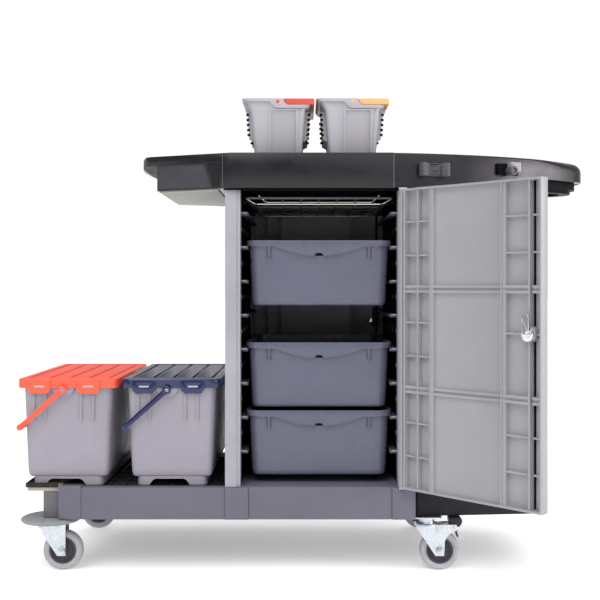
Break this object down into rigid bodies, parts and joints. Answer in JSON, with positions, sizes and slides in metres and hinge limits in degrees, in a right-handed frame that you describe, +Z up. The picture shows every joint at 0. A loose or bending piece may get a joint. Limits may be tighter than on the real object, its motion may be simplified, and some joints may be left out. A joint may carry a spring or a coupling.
{
  "type": "housekeeping cart",
  "caption": "Wheeled cleaning cart with a drawer cabinet, two lidded mop boxes, a top tray with hand buckets and a holder for a waste bag.",
  "frame": {"origin": "middle of the box round the standing cart, front door open, at floor level", "axes": "+Z up, +X along the cart towards the waste bag holder, -Y towards the cabinet's front door"},
  "size_m": [1.4847, 0.9136, 1.198],
  "materials": {
    "rail_grey": "fine moulded texture",
    "end_grey": "fine moulded texture",
    "charcoal": "fine moulded texture",
    "tray_black": "leather-grain moulded texture",
    "post_grey": "satin",
    "liner_dark": "satin",
    "runner_grey": "satin",
    "beige_strip": "satin",
    "lip_rubber": "matt",
    "under_panel": "matt",
    "zinc_steel": "bright zinc",
    "hub_grey": "satin",
    "tyre_grey": "matt, non-marking",
    "brake_black": "matt",
    "bumper_grey": "matt",
    "door_grey": "satin",
    "lock_chrome": "polished",
    "drawer_slate": "satin",
    "shelf_wire": "bright",
    "box_grey": "satin",
    "bucket_grey": "satin",
    "lid_red": "satin",
    "lid_blue": "satin",
    "bail_red": "satin",
    "bail_yellow": "satin",
    "clip_dark": "satin",
    "clip_light": "satin"
  },
  "bodies": {
    "chassis": {"side_rails": "rail_grey", "end_rail": "end_grey", "corner_blocks": "rail_grey", "post_feet": "rail_grey", "bay_floor": "charcoal", "end_bracket": "beige_strip", "end_lip": "lip_rubber", "bag_platform": "charcoal", "cabinet_floor": "rail_grey", "cabinet_roof": "liner_dark", "cabinet_posts": "post_grey", "cabinet_skins": "post_grey", "runner_panels": "liner_dark", "drawer_runners": "runner_grey", "shelf_brackets": "liner_dark", "hinge_pins": "zinc_steel", "top_tray": "tray_black", "tray_under_panel": "under_panel", "bag_ring": "tray_black", "bag_clamp_ring": "charcoal", "tool_clip_front": "clip_dark", "tool_clip_side": "clip_light", "caster_plates": "zinc_steel"},
    "caster_front_left": {"fork_front_left": "zinc_steel"},
    "wheel_front_left": {"hub_front_left": "hub_grey", "tyre_front_left": "tyre_grey"},
    "caster_rear_left": {"fork_rear_left": "zinc_steel"},
    "wheel_rear_left": {"hub_rear_left": "hub_grey", "tyre_rear_left": "tyre_grey"},
    "caster_front_right": {"fork_front_right": "zinc_steel"},
    "wheel_front_right": {"hub_front_right": "hub_grey", "tyre_front_right": "tyre_grey"},
    "caster_rear_right": {"fork_rear_right": "zinc_steel"},
    "wheel_rear_right": {"hub_rear_right": "hub_grey", "tyre_rear_right": "tyre_grey"},
    "brake_front": {"brake_front": "brake_black"},
    "brake_rear": {"brake_rear": "brake_black"},
    "bumper_front": {"bumper_front": "bumper_grey"},
    "bumper_rear": {"bumper_rear": "bumper_grey"},
    "front_door": {"front_door": "door_grey", "front_lock_barrel": "lock_chrome"},
    "front_lock": {"front_lock_cam": "lock_chrome"},
    "rear_door": {"rear_door": "door_grey", "rear_lock_barrel": "lock_chrome"},
    "rear_lock": {"rear_lock_cam": "lock_chrome"},
    "drawer_top": {"drawer_top": "drawer_slate"},
    "drawer_middle": {"drawer_middle": "drawer_slate"},
    "drawer_bottom": {"drawer_bottom": "drawer_slate"},
    "wire_shelf": {"wire_shelf": "shelf_wire"},
    "bag_lid": {"bag_lid": "tray_black"},
    "mop_box_left": {"mop_box_left": "box_grey"},
    "box_lid_left": {"box_lid_left": "lid_red"},
    "box_handle_left": {"box_handle_left": "lid_red"},
    "mop_box_right": {"mop_box_right": "box_grey"},
    "box_lid_right": {"box_lid_right": "lid_blue"},
    "box_handle_right": {"box_handle_right": "lid_blue"},
    "hand_bucket_left": {"hand_bucket_left": "bucket_grey"},
    "bail_left": {"bail_left": "bail_red"},
    "hand_bucket_right": {"hand_bucket_right": "bucket_grey"},
    "bail_right": {"bail_right": "bail_yellow"}
  },
  "joints": [
    {"name": "swivel_front_left", "type": "hinge", "parent": "chassis", "child": "caster_front_left", "pos_m": [-0.66442, -0.07973, 0.11], "axis": [0, 0, 1], "continuous": true},
    {"name": "roll_front_left", "type": "hinge", "parent": "caster_front_left", "child": "wheel_front_left", "pos_m": [-0.63242, -0.07973, 0.05], "axis": [0, 1, 0], "continuous": true},
    {"name": "swivel_rear_left", "type": "hinge", "parent": "chassis", "child": "caster_rear_left", "pos_m": [-0.66442, 0.37627, 0.11], "axis": [0, 0, 1], "continuous": true},
    {"name": "roll_rear_left", "type": "hinge", "parent": "caster_rear_left", "child": "wheel_rear_left", "pos_m": [-0.63242, 0.37627, 0.05], "axis": [0, 1, 0], "continuous": true},
    {"name": "swivel_front_right", "type": "hinge", "parent": "chassis", "child": "caster_front_right", "pos_m": [0.29258, -0.07973, 0.11], "axis": [0, 0, 1], "continuous": true},
    {"name": "roll_front_right", "type": "hinge", "parent": "caster_front_right", "child": "wheel_front_right", "pos_m": [0.32458, -0.07973, 0.05], "axis": [0, 1, 0], "continuous": true},
    {"name": "swivel_rear_right", "type": "hinge", "parent": "chassis", "child": "caster_rear_right", "pos_m": [0.29258, 0.37627, 0.11], "axis": [0, 0, 1], "continuous": true},
    {"name": "roll_rear_right", "type": "hinge", "parent": "caster_rear_right", "child": "wheel_rear_right", "pos_m": [0.32458, 0.37627, 0.05], "axis": [0, 1, 0], "continuous": true},
    {"name": "brake_front_rock", "type": "hinge", "parent": "caster_front_right", "child": "brake_front", "pos_m": [0.35958, -0.07973, 0.111], "axis": [0, 1, 0], "range_deg": [0, 8]},
    {"name": "brake_rear_rock", "type": "hinge", "parent": "caster_rear_right", "child": "brake_rear", "pos_m": [0.35958, 0.37627, 0.111], "axis": [0, 1, 0], "range_deg": [0, 8]},
    {"name": "bumper_front_turn", "type": "hinge", "parent": "chassis", "child": "bumper_front", "pos_m": [-0.66442, -0.07973, 0.13], "axis": [0, 0, 1], "continuous": true},
    {"name": "bumper_rear_turn", "type": "hinge", "parent": "chassis", "child": "bumper_rear", "pos_m": [-0.66442, 0.37627, 0.13], "axis": [0, 0, 1], "continuous": true},
    {"name": "front_door_hinge", "type": "hinge", "parent": "chassis", "child": "front_door", "pos_m": [0.22558, -0.14473, 0.59], "axis": [0, 0, 1], "range_deg": [-133, 35]},
    {"name": "front_lock_turn", "type": "hinge", "parent": "front_door", "child": "front_lock", "pos_m": [0.46879, -0.43751, 0.614], "axis": [0.7314, 0.682, 0], "range_deg": [0, 90]},
    {"name": "rear_door_hinge", "type": "hinge", "parent": "chassis", "child": "rear_door", "pos_m": [-0.18542, 0.44127, 0.59], "axis": [0, 0, 1], "range_deg": [0, 120]},
    {"name": "rear_lock_turn", "type": "hinge", "parent": "rear_door", "child": "rear_lock", "pos_m": [0.19458, 0.41947, 0.614], "axis": [0, 1, 0], "range_deg": [0, 90]},
    {"name": "drawer_top_slide", "type": "slide", "parent": "chassis", "child": "drawer_top", "axis": [0, -1, 0], "range_m": [0, 0.4]},
    {"name": "drawer_middle_slide", "type": "slide", "parent": "chassis", "child": "drawer_middle", "axis": [0, -1, 0], "range_m": [0, 0.4]},
    {"name": "drawer_bottom_slide", "type": "slide", "parent": "chassis", "child": "drawer_bottom", "axis": [0, -1, 0], "range_m": [0, 0.4]},
    {"name": "wire_shelf_slide", "type": "slide", "parent": "chassis", "child": "wire_shelf", "axis": [0, -1, 0], "range_m": [0, 0.35]},
    {"name": "bag_lid_hinge", "type": "hinge", "parent": "chassis", "child": "bag_lid", "pos_m": [0.21158, 0.14827, 1.0475], "axis": [0, -1, 0], "range_deg": [0, 85]},
    {"name": "mop_box_left_lift", "type": "slide", "parent": "chassis", "child": "mop_box_left", "axis": [0, 0, 1], "range_m": [0, 0.3]},
    {"name": "box_lid_left_lift", "type": "slide", "parent": "mop_box_left", "child": "box_lid_left", "axis": [0, 0, 1], "range_m": [0, 0.12]},
    {"name": "box_handle_left_swing", "type": "hinge", "parent": "mop_box_left", "child": "box_handle_left", "pos_m": [-0.62742, 0.14827, 0.46], "axis": [0, -1, 0], "range_deg": [-180, 0]},
    {"name": "mop_box_right_lift", "type": "slide", "parent": "chassis", "child": "mop_box_right", "axis": [0, 0, 1], "range_m": [0, 0.3]},
    {"name": "box_lid_right_lift", "type": "slide", "parent": "mop_box_right", "child": "box_lid_right", "axis": [0, 0, 1], "range_m": [0, 0.12]},
    {"name": "box_handle_right_swing", "type": "hinge", "parent": "mop_box_right", "child": "box_handle_right", "pos_m": [-0.36442, 0.14827, 0.46], "axis": [0, -1, 0], "range_deg": [-20, 0]},
    {"name": "hand_bucket_left_lift", "type": "slide", "parent": "chassis", "child": "hand_bucket_left", "axis": [0, 0, 1], "range_m": [0, 0.2]},
    {"name": "bail_left_swing", "type": "hinge", "parent": "hand_bucket_left", "child": "bail_left", "pos_m": [-0.08642, 0.03327, 1.19], "axis": [0, -1, 0], "range_deg": [0, 95]},
    {"name": "hand_bucket_right_lift", "type": "slide", "parent": "chassis", "child": "hand_bucket_right", "axis": [0, 0, 1], "range_m": [0, 0.2]},
    {"name": "bail_right_swing", "type": "hinge", "parent": "hand_bucket_right", "child": "bail_right", "pos_m": [0.10358, 0.03327, 1.19], "axis": [0, -1, 0], "range_deg": [0, 95]}
  ]
}
